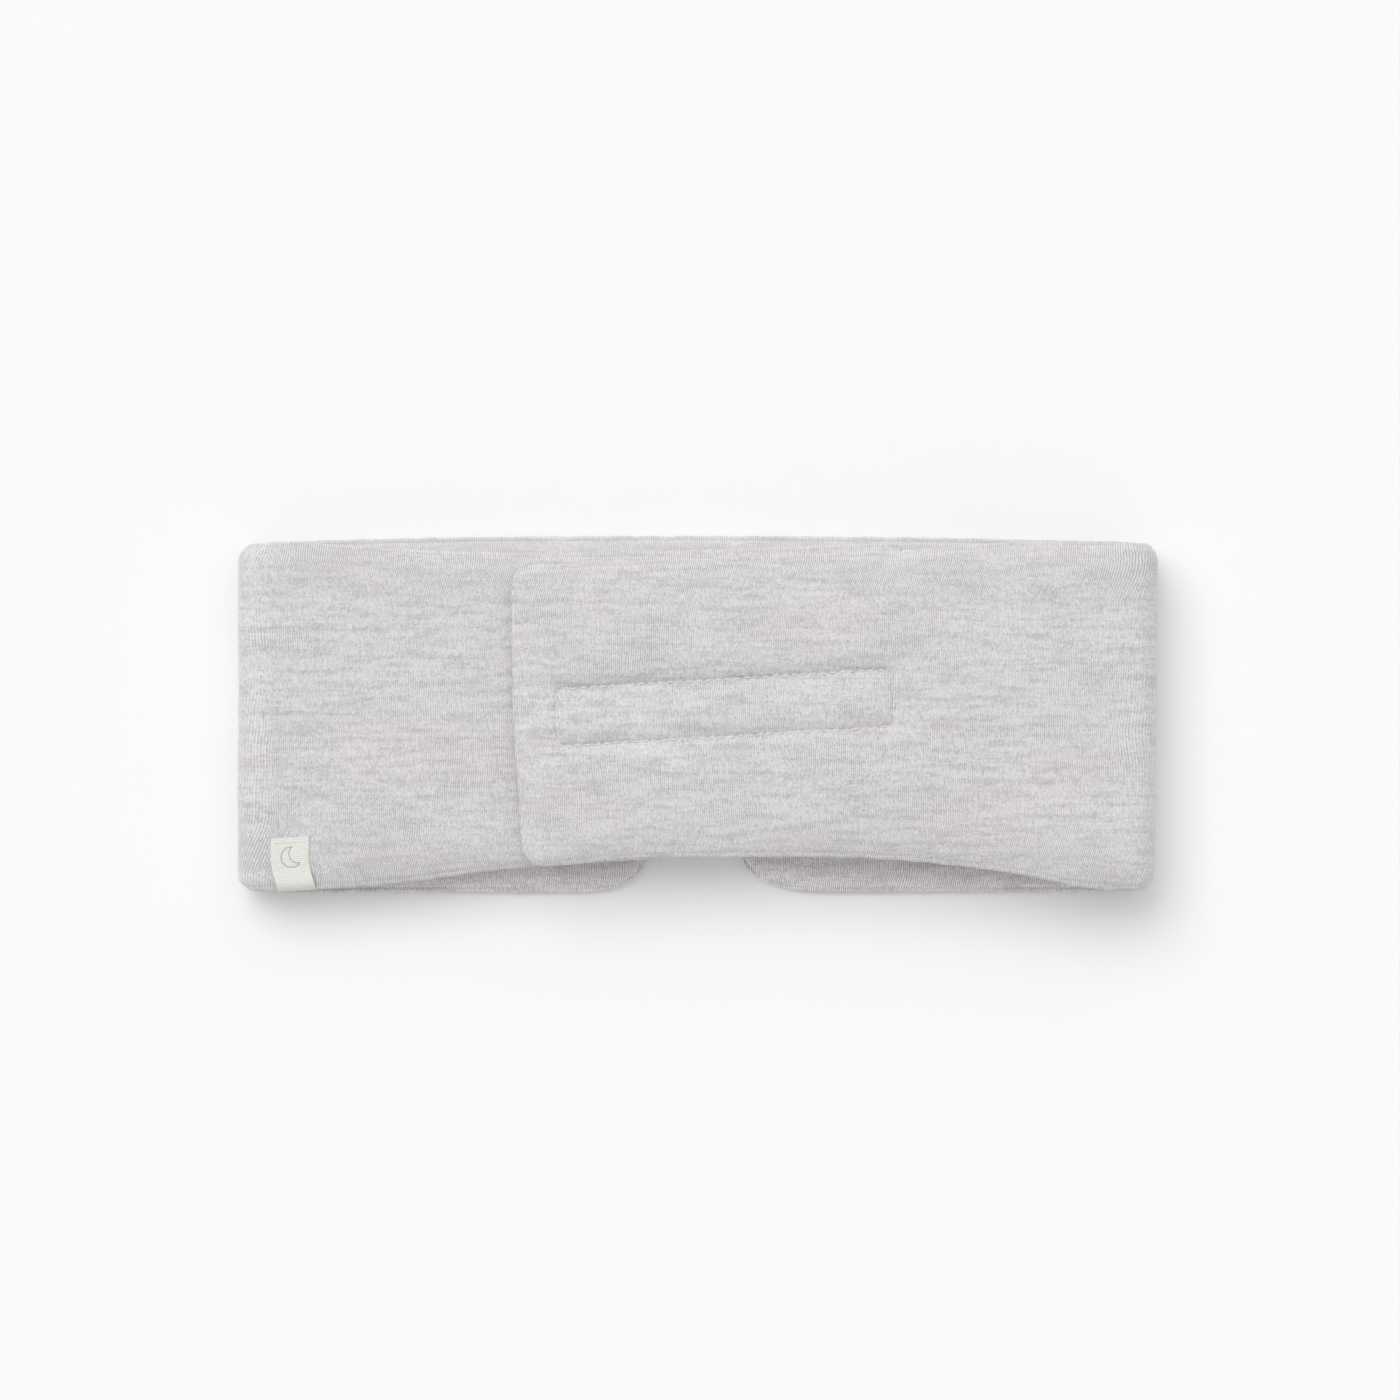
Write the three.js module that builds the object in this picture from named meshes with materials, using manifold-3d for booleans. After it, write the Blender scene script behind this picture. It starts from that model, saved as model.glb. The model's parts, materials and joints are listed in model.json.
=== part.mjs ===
// A padded wrap-around sleep mask, closed, lying on its front panel.
// Millimetres. X runs along the mask, -Y is the nose side, +Z is up.
// The origin is the middle of the underside.
//
// The mask is one padded band: a front panel with two wings that fold back over it.
// Each panel is an outer shell, a padding and an inner lining. The band bends through
// a quarter turn on each side of a fold, and the two bodies meet at the fold's height.

import * as THREE from 'three';
import { mergeVertices } from 'three/addons/utils/BufferGeometryUtils.js';
import Module from 'manifold-3d';

const wasm = await Module();
wasm.setup();

// Driving dimensions
const HALF_WIDTH = 120; // from the middle to each fold
const PANEL = 5.2; // shell, padding and lining together
const FABRIC = 1.1; // a shell or a lining
const GAP = 0.3; // between pieces that touch
const HEAD_SPACE = 6.6; // between the front panel and the left wing
const LOOP_THICKNESS = 0.7;
const HOOK_THICKNESS = 1.0;

// Each wing lies at its own height, and its fold is half as high as its outer face,
// so that it comes to lie on the same surface as the front panel when it is opened.
const LEFT_TOP = 2 * PANEL + HEAD_SPACE;
const RIGHT_TOP = LEFT_TOP + LOOP_THICKNESS + HOOK_THICKNESS + 3 * GAP + PANEL;
const LEFT_BEND = (LEFT_TOP - GAP) / 2; // outer radius of the quarter bends at the left fold
const RIGHT_BEND = (RIGHT_TOP - GAP) / 2;

const BEND_STEPS = 7;
const CURVE_STEPS = 5;
const REACH = 60; // half the length of the cutting tools, more than half the mask's height
const OVERRUN = 2; // how far a cutting tool runs past what it cuts
const OUTLINE_CLEARANCE = 0.05; // keeps an outline off the fold's outermost line
const FOLD_CORNER = 4.2; // radius at the ends of a fold
const RIGHT_NOSE_CORNER = 2.6; // radius at the right fold's nose end
const LEFT_FOLD_TOP = 44.2; // y at the upper ends of the folds
const RIGHT_FOLD_TOP = 44.3;

// The closure: both tapes and their rows of stitches share one centre and one tilt
const CLOSURE = { x: 7, y: 2, tilt: THREE.MathUtils.degToRad(3.4) };
const LOOP_TAPE = { length: 91, width: 20, corner: 1.5 };
const HOOK_TAPE = { length: 91.5, width: 18.5, corner: 1.5 };
const STITCHED_BOX = { length: 87.9, width: 15 };
const ROW_SHORTFALL = 3; // how much shorter each row is than its side of the box
const THREAD = { width: 0.6, height: 0.4, groove: 0.7 };

// The label: a ribbon folded round the left wing's lower edge
const LABEL = { x: -106, width: 10.6, thickness: 0.5, tilt: THREE.MathUtils.degToRad(3.5) };
const LABEL_EDGE = -45; // the wing's lower edge under the label
const LABEL_SLACK = 0.6; // between that edge and the fold of the label
const LABEL_OUTER_LEG = 13.4; // how far the label reaches over the outer face
const LABEL_INNER_LEG = 7; // and over the inner face
const LABEL_STITCHING = { length: 9.4, inset: 1.4 };

// The panels. A panel's outer face is at outerZ, and inward points from it to the lining.
const FRONT = { outerZ: 0, inward: 1, leftBend: LEFT_BEND, rightBend: RIGHT_BEND };
const LEFT_WING = { outerZ: LEFT_TOP, inward: -1, leftBend: LEFT_BEND, rightBend: 0 };
const RIGHT_WING = { outerZ: RIGHT_TOP, inward: -1, leftBend: 0, rightBend: RIGHT_BEND };

// Materials

function fabric(colour, roughness) {
  return new THREE.MeshStandardMaterial({ color: colour, roughness, metalness: 0 });
}

const shellJersey = fabric(0xd4d2d3, 0.95);
const liningJersey = fabric(0xd0ced0, 0.95);
const batting = fabric(0xf2f1ee, 1.0);
const loopPile = fabric(0xdedcda, 1.0);
const hookNylon = fabric(0xd6d5d3, 0.6);
const ribbon = fabric(0xf3f1ea, 0.8);
const thread = fabric(0xc4c2c3, 0.7);

// Outlines, anticlockwise from the lower left corner

function points(pairs) {
  return pairs.map(([x, y]) => new THREE.Vector2(x, y));
}

// A rounded corner at the end of a fold: side is -1 or 1, and end is -1 at the nose side.
function foldCorner(path, side, end, edgeY, radius) {
  const x = side * (HALF_WIDTH + OUTLINE_CLEARANCE - radius);
  const start = Math.atan2(end, side) - Math.PI / 4;
  path.absarc(x, edgeY - end * radius, radius, start, start + Math.PI / 2);
}

function frontOutline() {
  const path = new THREE.Path();
  foldCorner(path, -1, -1, -46.2, FOLD_CORNER);
  path.lineTo(-30, -46.3);
  path.quadraticCurveTo(-13, -46.3, -12, -33);
  path.bezierCurveTo(-11.3, -21, 8.8, -21, 9.5, -31);
  path.quadraticCurveTo(9.5, -46.3, 33, -46.3);
  foldCorner(path, 1, -1, -46, RIGHT_NOSE_CORNER);
  foldCorner(path, 1, 1, RIGHT_FOLD_TOP, FOLD_CORNER);
  path.splineThru(points([
    [104, 45.1], [60, 46.3], [0, 46.6], [-60, 46.3], [-104, 45.3], [-115.8, LEFT_FOLD_TOP],
  ]));
  foldCorner(path, -1, 1, LEFT_FOLD_TOP, FOLD_CORNER);
  return path.getPoints(CURVE_STEPS);
}

function leftWingOutline() {
  const path = new THREE.Path();
  foldCorner(path, -1, -1, LABEL_EDGE, FOLD_CORNER);
  path.splineThru(points([
    [-100, LABEL_EDGE], [-77, -43.7], [-54, -40.7], [-20, -38.2], [54, -35.6],
  ]));
  path.quadraticCurveTo(57.2, -35.5, 57, -32.5);
  path.lineTo(54.2, 42.8);
  path.quadraticCurveTo(54, 45.6, 51, 45.4);
  path.splineThru(points([
    [0, 43.5], [-48, 42.8], [-84, 43.6], [-104, 44.8], [-115.8, LEFT_FOLD_TOP],
  ]));
  foldCorner(path, -1, 1, LEFT_FOLD_TOP, FOLD_CORNER);
  return path.getPoints(CURVE_STEPS);
}

function rightWingOutline() {
  const path = new THREE.Path();
  path.moveTo(-45.2, -30);
  path.quadraticCurveTo(-44, -40.2, -36, -39.5);
  path.splineThru(points([
    [-12.7, -37.6], [33, -37.2], [59, -38.6], [82, -41.2], [106, -45.2], [117.4, -45.8],
  ]));
  foldCorner(path, 1, -1, -45.8, RIGHT_NOSE_CORNER);
  foldCorner(path, 1, 1, RIGHT_FOLD_TOP, FOLD_CORNER);
  path.splineThru(points([
    [100, 45.2], [79, 45.2], [57, 43.6], [16, 42], [-20, 40.4], [-40, 39],
  ]));
  path.quadraticCurveTo(-47.6, 38.6, -47.5, 31);
  path.lineTo(-47.2, 0);
  return path.getPoints(CURVE_STEPS);
}

// The same outline, moved inwards.
function inset(outline, distance) {
  const ring = outline.filter((point, i) => point.distanceTo(outline.at(i - 1)) > OUTLINE_CLEARANCE);
  return ring.map((point, i) => {
    const along = ring[(i + 1) % ring.length].clone().sub(ring.at(i - 1)).normalize();
    return new THREE.Vector2(point.x - along.y * distance, point.y + along.x * distance);
  });
}

function roundedRectangle({ length, width, corner }) {
  const path = new THREE.Path();
  const x = length / 2 - corner;
  const y = width / 2 - corner;
  path.absarc(-x, -y, corner, Math.PI, 1.5 * Math.PI);
  path.absarc(x, -y, corner, 1.5 * Math.PI, 2 * Math.PI);
  path.absarc(x, y, corner, 0, 0.5 * Math.PI);
  path.absarc(-x, y, corner, 0.5 * Math.PI, Math.PI);
  return path.getPoints(2);
}

// Solids

function solid(geometry) {
  geometry.deleteAttribute('normal');
  geometry.deleteAttribute('uv');
  const merged = mergeVertices(geometry);
  return new wasm.Manifold(new wasm.Mesh({
    numProp: 3,
    vertProperties: merged.attributes.position.array,
    triVerts: new Uint32Array(merged.index.array),
  }));
}

// An outline stood up from a low to a high z.
function prism(outline, low, high) {
  const shape = new THREE.Shape(inset(outline, 0));
  return new THREE.ExtrudeGeometry(shape, { depth: high - low, bevelEnabled: false }).translate(0, 0, low);
}

// Where a panel's surface at some depth turns up or down at one side, from the fold inwards.
function bend(panel, side, depth, overrun) {
  const radius = side < 0 ? panel.leftBend : panel.rightBend;
  if (radius === 0) {
    return [new THREE.Vector2(side * HALF_WIDTH, panel.outerZ + panel.inward * depth)];
  }
  const centreX = side * (HALF_WIDTH - radius);
  const centreZ = panel.outerZ + panel.inward * radius;
  const along = [];
  if (overrun > 0) {
    along.push(new THREE.Vector2(centreX + side * (radius - depth), centreZ + panel.inward * overrun));
  }
  for (let step = 0; step <= BEND_STEPS; step += 1) {
    const angle = (step / BEND_STEPS) * Math.PI / 2;
    along.push(new THREE.Vector2(
      centreX + side * (radius - depth) * Math.cos(angle),
      centreZ - panel.inward * (radius - depth) * Math.sin(angle),
    ));
  }
  return along;
}

// The part of a panel between two depths, bends included, as long as the tools reach.
function layer(panel, from, to, overrun = 0) {
  const surface = (depth) => [
    ...bend(panel, -1, depth, overrun),
    ...bend(panel, 1, depth, overrun).reverse(),
  ];
  const section = new THREE.Shape([...surface(from), ...surface(to).reverse()]);
  const geometry = new THREE.ExtrudeGeometry(section, { depth: 2 * REACH, bevelEnabled: false });
  return solid(geometry.rotateX(Math.PI / 2).translate(0, REACH, 0));
}

function cutOut(outline) {
  return solid(prism(outline, -REACH, REACH));
}

// A fabric face whose edges turn in to the seam at half the panel's thickness.
function tray(panel, outline, face, cavity) {
  const block = layer(panel, ...face).intersect(cutOut(outline));
  const room = layer(panel, ...cavity, OVERRUN).intersect(cutOut(inset(outline, FABRIC)));
  return block.subtract(room);
}

function outerShell(panel, outline) {
  return tray(panel, outline, [0, (PANEL - GAP) / 2], [FABRIC, PANEL / 2]);
}

function innerLining(panel, outline) {
  return tray(panel, outline, [(PANEL + GAP) / 2, PANEL], [PANEL / 2, PANEL - FABRIC]);
}

function padding(panel, outline) {
  const clear = FABRIC + GAP;
  return layer(panel, clear, PANEL - clear).intersect(cutOut(inset(outline, clear)));
}

// Rows of stitches

// The four rows of a stitched box: where each lies, how long it is and how it is turned.
const LONG_ROW = STITCHED_BOX.length - ROW_SHORTFALL;
const SHORT_ROW = STITCHED_BOX.width - ROW_SHORTFALL;
const ROWS = {
  upper: { x: 0, y: STITCHED_BOX.width / 2, length: LONG_ROW, turn: 0 },
  lower: { x: 0, y: -STITCHED_BOX.width / 2, length: LONG_ROW, turn: 0 },
  left: { x: -STITCHED_BOX.length / 2, y: 0, length: SHORT_ROW, turn: Math.PI / 2 },
  right: { x: STITCHED_BOX.length / 2, y: 0, length: SHORT_ROW, turn: Math.PI / 2 },
};

function bar(row, extra, low, high) {
  const width = THREAD.width + 2 * extra;
  return new THREE.BoxGeometry(row.length + 2 * extra, width, high - low)
    .rotateZ(row.turn)
    .translate(row.x, row.y, (low + high) / 2);
}

// The grooves that the rows lie in.
function withGrooves(piece, low, high, frame = new THREE.Matrix4()) {
  let cut = piece;
  for (const row of Object.values(ROWS)) {
    cut = cut.subtract(solid(bar(row, GAP, low, high).applyMatrix4(frame)));
  }
  return cut;
}

// Meshes

function mesh(name, geometry, material) {
  const named = new THREE.Mesh(geometry, material);
  named.name = name;
  return named;
}

function solidMesh(name, manifold, material) {
  const { vertProperties, triVerts } = manifold.getMesh();
  const geometry = new THREE.BufferGeometry();
  geometry.setAttribute('position', new THREE.BufferAttribute(vertProperties, 3));
  geometry.setIndex(new THREE.BufferAttribute(triVerts, 1));
  return mesh(name, geometry, material);
}

function closureFrame() {
  const frame = new THREE.Group();
  frame.position.set(CLOSURE.x, CLOSURE.y, 0);
  frame.rotation.z = CLOSURE.tilt;
  frame.updateMatrix();
  return frame;
}

function addRows(group, name, low, high) {
  for (const [side, row] of Object.entries(ROWS)) {
    group.add(mesh(`${name}_${side}`, bar(row, 0, low, high), thread));
  }
}

function frontPanel() {
  const group = new THREE.Group();
  const outline = frontOutline();
  group.add(solidMesh('front_outer_shell', outerShell(FRONT, outline), shellJersey));
  group.add(solidMesh('front_padding', padding(FRONT, outline), batting));
  group.add(solidMesh('front_inner_lining', innerLining(FRONT, outline), liningJersey));
  return group;
}

// The label in section, with y measured from the wing's lower edge.
function sideLabel() {
  const { thickness } = LABEL;
  const top = LEFT_TOP + GAP;
  const bottom = LEFT_TOP - PANEL - GAP;
  const fold = -LABEL_SLACK;
  const section = new THREE.Shape(points([
    [LABEL_OUTER_LEG, top], [fold, top], [fold, bottom], [LABEL_INNER_LEG, bottom],
    [LABEL_INNER_LEG, bottom - thickness], [fold, bottom - thickness],
    [fold - thickness, bottom], [fold - thickness, top],
    [fold, top + thickness], [LABEL_OUTER_LEG, top + thickness],
  ]));
  return new THREE.ExtrudeGeometry(section, { depth: LABEL.width, bevelEnabled: false })
    .rotateX(Math.PI / 2)
    .rotateZ(Math.PI / 2)
    .translate(-LABEL.width / 2, 0, 0);
}

function leftWing() {
  const group = new THREE.Group();
  const outline = leftWingOutline();
  group.add(solidMesh('left_wing_outer_shell', outerShell(LEFT_WING, outline), shellJersey));
  group.add(solidMesh('left_wing_padding', padding(LEFT_WING, outline), batting));
  group.add(solidMesh('left_wing_inner_lining', innerLining(LEFT_WING, outline), liningJersey));

  const low = LEFT_TOP + GAP;
  const high = low + LOOP_THICKNESS;
  const closure = closureFrame();
  const tape = solid(prism(roundedRectangle(LOOP_TAPE), low, high));
  closure.add(solidMesh('loop_tape', withGrooves(tape, low - OVERRUN, high + OVERRUN), loopPile));
  addRows(closure, 'loop_tape_stitching', low, low + THREAD.height);
  group.add(closure);

  const label = new THREE.Group();
  label.position.set(LABEL.x, LABEL_EDGE, 0);
  label.rotation.z = LABEL.tilt;
  label.add(mesh('side_label', sideLabel(), ribbon));
  const row = { x: 0, y: LABEL_OUTER_LEG - LABEL_STITCHING.inset, length: LABEL_STITCHING.length, turn: 0 };
  const stitchingLow = LEFT_TOP + LABEL.thickness + 2 * GAP;
  label.add(mesh('side_label_stitching', bar(row, 0, stitchingLow, stitchingLow + THREAD.height), thread));
  group.add(label);
  return group;
}

function rightWing() {
  const group = new THREE.Group();
  const outline = rightWingOutline();
  const closure = closureFrame();
  const shell = withGrooves(
    outerShell(RIGHT_WING, outline), RIGHT_TOP - THREAD.groove, RIGHT_TOP + OVERRUN, closure.matrix,
  );
  group.add(solidMesh('right_wing_outer_shell', shell, shellJersey));
  group.add(solidMesh('right_wing_padding', padding(RIGHT_WING, outline), batting));
  group.add(solidMesh('right_wing_inner_lining', innerLining(RIGHT_WING, outline), liningJersey));

  const hookTop = RIGHT_TOP - PANEL - GAP;
  const hookTape = prism(roundedRectangle(HOOK_TAPE), hookTop - HOOK_THICKNESS, hookTop);
  closure.add(mesh('hook_tape', hookTape, hookNylon));
  addRows(closure, 'hook_tape_stitching', RIGHT_TOP - THREAD.height, RIGHT_TOP);
  group.add(closure);
  return group;
}

const mask = new THREE.Group();
mask.add(frontPanel(), leftWing(), rightWing());

export default mask;
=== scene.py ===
"""A padded wrap-around sleep mask in heather-grey jersey, closed and lying on its front panel.

The padded band is made flat, as a pattern in millimetres: s runs along the band, y across it and h out of
it, from the lining to the shell. It is then folded round the two hinges of the frame. The pattern is one
closed pad from wing tip to wing tip, parted over the nose, because a piece can bend across one joint only.
"""

import json
import math

import bmesh
import bpy
import numpy as np
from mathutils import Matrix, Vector
from mathutils.bvhtree import BVHTree
from mathutils.geometry import delaunay_2d_cdt


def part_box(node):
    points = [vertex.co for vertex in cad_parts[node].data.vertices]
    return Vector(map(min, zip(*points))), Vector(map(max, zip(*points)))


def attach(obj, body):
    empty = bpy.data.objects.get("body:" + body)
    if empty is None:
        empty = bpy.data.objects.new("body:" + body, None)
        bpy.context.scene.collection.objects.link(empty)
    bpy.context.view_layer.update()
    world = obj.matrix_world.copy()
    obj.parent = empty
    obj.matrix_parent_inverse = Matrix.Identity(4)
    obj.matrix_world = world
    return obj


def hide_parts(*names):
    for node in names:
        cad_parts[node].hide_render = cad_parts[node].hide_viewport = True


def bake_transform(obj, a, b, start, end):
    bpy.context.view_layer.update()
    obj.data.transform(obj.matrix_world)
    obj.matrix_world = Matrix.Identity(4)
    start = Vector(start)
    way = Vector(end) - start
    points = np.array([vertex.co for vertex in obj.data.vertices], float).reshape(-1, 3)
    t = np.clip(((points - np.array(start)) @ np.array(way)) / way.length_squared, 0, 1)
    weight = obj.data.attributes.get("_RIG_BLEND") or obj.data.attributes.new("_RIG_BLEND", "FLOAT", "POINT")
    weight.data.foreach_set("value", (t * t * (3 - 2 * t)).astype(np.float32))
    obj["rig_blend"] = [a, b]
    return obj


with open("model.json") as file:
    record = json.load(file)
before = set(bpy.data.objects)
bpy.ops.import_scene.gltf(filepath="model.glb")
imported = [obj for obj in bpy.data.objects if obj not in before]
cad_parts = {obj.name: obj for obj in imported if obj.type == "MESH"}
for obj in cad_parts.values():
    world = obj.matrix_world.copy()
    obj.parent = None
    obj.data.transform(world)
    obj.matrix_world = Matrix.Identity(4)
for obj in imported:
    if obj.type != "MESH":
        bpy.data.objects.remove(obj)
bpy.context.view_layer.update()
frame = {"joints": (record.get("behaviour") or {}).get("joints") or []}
MM = 0.001

# What the frame says, in millimetres

HINGES = {joint["name"]: np.array(joint["pos_m"]) / MM for joint in frame["joints"]}
FOLD_X = HINGES["right_fold"][0]
RIGHT_Z = HINGES["right_fold"][2]
LEFT_Z = HINGES["left_fold"][2]
GAP = 0.3  # from the hook tape up to the right wing's lining
HOOK_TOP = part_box("hook_tape")[1].z / MM
PANEL = 2 * RIGHT_Z - HOOK_TOP - GAP  # a panel's thickness
HALF = PANEL / 2

RIGHT_RUN = FOLD_X - RIGHT_Z  # where the flat front panel ends and the bend begins
LEFT_RUN = FOLD_X - LEFT_Z
RIGHT_RADIUS = RIGHT_Z - HALF  # of the middle of the pad, round a bend
LEFT_RADIUS = LEFT_Z - HALF
RIGHT_WING = 2 * RIGHT_RUN + math.pi * RIGHT_RADIUS  # a wing's s and x add up to this
LEFT_WING = -2 * LEFT_RUN - math.pi * LEFT_RADIUS

# The closure: its tapes and its stitched box, on both wings
CLOSURE = np.array([7.0, 2.0])
CLOSURE_TILT = math.radians(3.4)
LOOP_TAPE = (91.0, 20.0)
HOOK_TAPE = (91.5, 18.5)
TAPE_CORNER = 1.5
BOX_LENGTH = 87.9
BOX_WIDTH = 15.0
STITCH = 2.5  # from one stitch to the next
THREAD = 0.44  # diameter

# The label
LABEL_X = -106.0
LABEL_EDGE = -45.2
LABEL_WIDTH = 10.0
LABEL_TILT = math.radians(3.5)
LABEL_OUTER_LEG = 13.4
LABEL_INNER_LEG = 7.0
LABEL_THICKNESS = 0.32
LABEL_RIB = 0.5

# The pattern's mesh
NOSE = -1.3  # where the band is parted
EDGE_STEP = 1.8
GRID_STEP = 3.1
ROW_STEP = STITCH / 2
RINGS = (0.35, 0.9, 1.6, 2.6, 4.1)  # distances from the edge
CHANNEL_LINES = (-2.6, -1.2, -0.5, 0.0, 0.5, 1.2, 2.6)  # lines of points beside each row of stitches
LEAST_GAP = 0.4  # between two points beside the stitches
ROLL = 2.0  # how far in from the edge the rolled edge reaches
EDGE_HALF = 1.7  # half the pad's thickness where the rolled edge ends
EDGE_REACH = 11.0  # how far in from the edge it grows to its full thickness
SLACK_HALF = 2.4  # half the pad's thickness before it swells
LEFT_FOLD_WIDTH = 8.0  # how far along the band a fold's own thickness reaches
RIGHT_FOLD_WIDTH = 12.0
FOLD_THINNING = 0.75  # the share by which the lining side thins at the folds
FOLD_FULLNESS = 0.5  # how much thicker the left-hand fold is
SWELL_CAP = 0.6  # the most that a point may move as it swells


# Curves

def quadratic(a, b, c, count=8):
    t = np.linspace(0, 1, count)[:, None]
    a, b, c = (np.array(p, float) for p in (a, b, c))
    return a * (1 - t) ** 2 + 2 * b * t * (1 - t) + c * t ** 2


def cubic(a, b, c, d, count=16):
    t = np.linspace(0, 1, count)[:, None]
    a, b, c, d = (np.array(p, float) for p in (a, b, c, d))
    return a * (1 - t) ** 3 + 3 * b * t * (1 - t) ** 2 + 3 * c * t ** 2 * (1 - t) + d * t ** 3


def spline(knots, count=10):
    """A smooth curve through the knots, as Catmull and Rom draw it."""
    p = np.array(knots, float)
    p = np.vstack([2 * p[0] - p[1], p, 2 * p[-1] - p[-2]])
    t = np.linspace(0, 1, count, endpoint=False)[:, None]
    parts = []
    for a, b, c, d in zip(p[:-3], p[1:-2], p[2:-1], p[3:]):
        parts.append(0.5 * (2 * b + (c - a) * t + (2 * a - 5 * b + 4 * c - d) * t ** 2
                            + (3 * b - a - 3 * c + d) * t ** 3))
    return np.vstack([*parts, p[-2:-1]])


def resample(points, step):
    """The closed outline again, with its points one step apart."""
    ring = np.vstack([points, points[:1]])
    lengths = np.concatenate([[0], np.cumsum(np.linalg.norm(np.diff(ring, axis=0), axis=1))])
    where = np.linspace(0, lengths[-1], round(lengths[-1] / step), endpoint=False)
    return np.column_stack([np.interp(where, lengths, ring[:, axis]) for axis in (0, 1)])


def waves(points, wavelength, seed, count=9):
    """A smooth wandering height over the points, about from -1 to 1."""
    rng = np.random.default_rng(seed)
    total = np.zeros(len(points))
    for angle, phase, stretch in rng.uniform(0, 1, (count, 3)):
        direction = np.array([math.cos(math.tau * angle), math.sin(math.tau * angle)])
        number = math.tau / (wavelength * (0.7 + 0.7 * stretch))
        total += np.sin(number * points[:, :2] @ direction + math.tau * phase)
    return total / math.sqrt(2 * count)


def ramp(values, start, end):
    t = np.clip((values - start) / (end - start), 0, 1)
    return t * t * (3 - 2 * t)


# The band's outline. The wings' points are where they lie in the closed mask.

def along_wing(wing, points):
    """Turns a wing's x and y in the closed mask into the band's s and y, or back."""
    points = np.array(points, float)
    return np.column_stack([wing - points[:, 0], points[:, 1]])


def band_outline():
    """The band's outline in s and y, anticlockwise from the left wing's lower tip corner."""
    left_lower = [(54, -35.6), (-20, -38.2), (-54, -40.9), (-77, -44.0), (-98, -45.7), (-111, -46.2)]
    right_lower = [(107, -45.8), (98, -44.7), (82, -41.4), (59, -38.6), (33, -37.2), (-12.7, -37.6),
                   (-40, -39.7)]
    right_upper = [(-45.4, 39.2), (-20, 40.6), (16, 41.9), (57, 43.6), (79, 45.4), (100, 45.8), (107, 45.7)]
    left_upper = [(-111, 45.6), (-104, 45.6), (-84, 44.2), (-48, 42.8), (0, 43.5), (51, 45.4)]
    front_upper = [(106, 46.0), (60, 47.0), (0, 47.4), (-60, 47.1), (-106, 46.1)]
    left_bend = -LEFT_RUN - math.pi * LEFT_RADIUS / 2
    right_bend = RIGHT_RUN + math.pi * RIGHT_RADIUS / 2
    outline = np.vstack([
        along_wing(LEFT_WING, quadratic((57, -32.5), (57.2, -35.5), (54, -35.6))),
        along_wing(LEFT_WING, spline(left_lower)),
        spline([(left_bend, -46.0), (-106, -46.9), (-80, -46.7), (-30, -46.7)]),
        quadratic((-30, -46.7), (-13, -46.7), (-12, -33), 14),
        cubic((-12, -33), (-11.3, -21), (8.8, -21), (9.5, -31)),
        quadratic((9.5, -31), (9.5, -46.7), (33, -46.7), 14),
        spline([(33, -46.7), (80, -46.6), (104, -46.6), (right_bend, -45.9)]),
        along_wing(RIGHT_WING, spline(right_lower)),
        along_wing(RIGHT_WING, quadratic((-40, -39.7), (-45.7, -40.2), (-46.4, -33))),
        along_wing(RIGHT_WING, [(-48.6, 0)]),
        along_wing(RIGHT_WING, quadratic((-49.0, 35), (-49.0, 39), (-45.4, 39.2))),
        along_wing(RIGHT_WING, spline(right_upper)),
        [(right_bend, 45.0)],
        spline(front_upper),
        [(left_bend, 45.0)],
        along_wing(LEFT_WING, spline(left_upper)),
        along_wing(LEFT_WING, quadratic((51, 45.4), (54, 45.6), (54.2, 42.8))),
    ])
    outline = resample(outline, EDGE_STEP)
    for _ in range(2):
        outline = (np.roll(outline, 1, axis=0) + 2 * outline + np.roll(outline, -1, axis=0)) / 4
    return outline


# The stitched box, in its own u and v

def box_rows():
    """Each row's centre, its length and its turn."""
    along, across = BOX_LENGTH - STITCH, BOX_WIDTH - STITCH
    return {
        "upper": (np.array([0, BOX_WIDTH / 2]), along, 0),
        "lower": (np.array([0, -BOX_WIDTH / 2]), along, 0),
        "left": (np.array([-BOX_LENGTH / 2, 0]), across, math.pi / 2),
        "right": (np.array([BOX_LENGTH / 2, 0]), across, math.pi / 2),
    }


ROWS = box_rows()


def turned(points, angle):
    c, s = math.cos(angle), math.sin(angle)
    return np.array(points, float) @ np.array([[c, s], [-s, c]])


def row_points(row, along, across=0.0):
    """Points of a row, given how far along and across it they lie, in u and v."""
    centre, _, turn = row
    along = np.atleast_1d(along)
    return centre + turned(np.column_stack([along, np.full(len(along), across)]), turn)


def in_row(points, row):
    """How far along and across a row each point of u and v lies."""
    centre, _, turn = row
    return turned(points - centre, -turn).T


def box_to_pattern(points, wing):
    return along_wing(wing, CLOSURE + turned(points, CLOSURE_TILT))


def pattern_to_box(points, wing):
    return turned(along_wing(wing, points) - CLOSURE, -CLOSURE_TILT)


# Meshes

def edge_distance(points, outline):
    """How far each point lies from the outline, more than 0 inside it."""
    start, step = outline, np.roll(outline, -1, axis=0) - outline
    result = []
    for part in np.array_split(points, max(1, len(points) // 2000)):
        across = part[:, None, :] - start
        t = np.clip((across * step).sum(2) / (step ** 2).sum(1), 0, 1)
        near = np.linalg.norm(across - t[..., None] * step, axis=2).min(1)
        above = across[..., 1] < 0
        crosses = above != np.roll(above, -1, axis=1)
        x = across[..., 0] * step[:, 1] - across[..., 1] * step[:, 0]
        inside = (crosses & ((x < 0) == (step[:, 1] > 0))).sum(1) % 2 == 1
        result.append(np.where(inside, near, -near))
    return np.concatenate(result)


def inner_ring(outline, distance):
    """The outline moved inwards, without the points that come too near it at its corners."""
    along = np.roll(outline, -1, axis=0) - np.roll(outline, 1, axis=0)
    along /= np.linalg.norm(along, axis=1, keepdims=True)
    ring = outline + distance * np.column_stack([-along[:, 1], along[:, 0]])
    return ring[edge_distance(ring, outline) > 0.93 * distance]


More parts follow.
